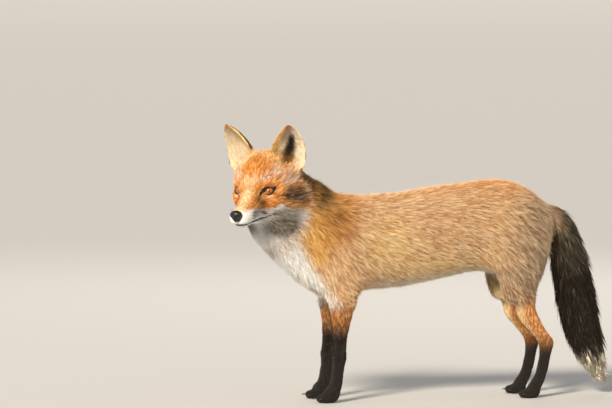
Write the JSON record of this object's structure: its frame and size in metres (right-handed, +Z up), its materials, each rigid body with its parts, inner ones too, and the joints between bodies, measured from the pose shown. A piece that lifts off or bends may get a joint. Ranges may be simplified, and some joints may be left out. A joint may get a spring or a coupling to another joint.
{
  "type": "life-size red fox model",
  "caption": "Still model of an adult red fox standing square with its head turned to its left, ears up and brush hanging behind the hocks.",
  "frame": {"origin": "middle of the footprint of the bounding box, at the level of the soles", "axes": "+Z up, the fox faces -X along the body and its left side is -Y"},
  "size_m": [0.7368, 0.1994, 0.5023],
  "materials": {
    "coat_rufous": "dense guard hair over underfur, orange-rufous flecked with cream",
    "coat_pale": "dense hair, white-grey to cream",
    "coat_face": "very short hair, rufous with cream and white",
    "coat_grey": "grizzled hair, grey-brown and cream over rufous",
    "coat_brush": "long hair, grey-brown and black over cream",
    "coat_stocking": "very short hair, brown-black",
    "eye": "wet, amber iris with an upright dark pupil",
    "nose": "damp pebbled leather, near black",
    "claw": "dark horn, worn smooth"
  },
  "bodies": {
    "root": {"trunk": "coat_rufous", "neck": "coat_pale", "lower_jaw": "coat_pale", "tail_tip": "coat_pale", "head": "coat_face", "ear_left": "coat_face", "ear_right": "coat_face", "thigh_left": "coat_grey", "thigh_right": "coat_grey", "hindleg_left": "coat_grey", "hindleg_right": "coat_grey", "tail": "coat_brush", "foreleg_left": "coat_stocking", "foreleg_right": "coat_stocking", "forepaw_left": "coat_stocking", "forepaw_right": "coat_stocking", "hindpaw_left": "coat_stocking", "hindpaw_right": "coat_stocking", "eye_left": "eye", "eye_right": "eye", "nose": "nose", "claw_forepaw_left_1": "claw", "claw_forepaw_left_2": "claw", "claw_forepaw_left_3": "claw", "claw_forepaw_left_4": "claw", "claw_forepaw_right_1": "claw", "claw_forepaw_right_2": "claw", "claw_forepaw_right_3": "claw", "claw_forepaw_right_4": "claw", "claw_hindpaw_left_1": "claw", "claw_hindpaw_left_2": "claw", "claw_hindpaw_left_3": "claw", "claw_hindpaw_left_4": "claw", "claw_hindpaw_right_1": "claw", "claw_hindpaw_right_2": "claw", "claw_hindpaw_right_3": "claw", "claw_hindpaw_right_4": "claw"}
  },
  "joints": []
}
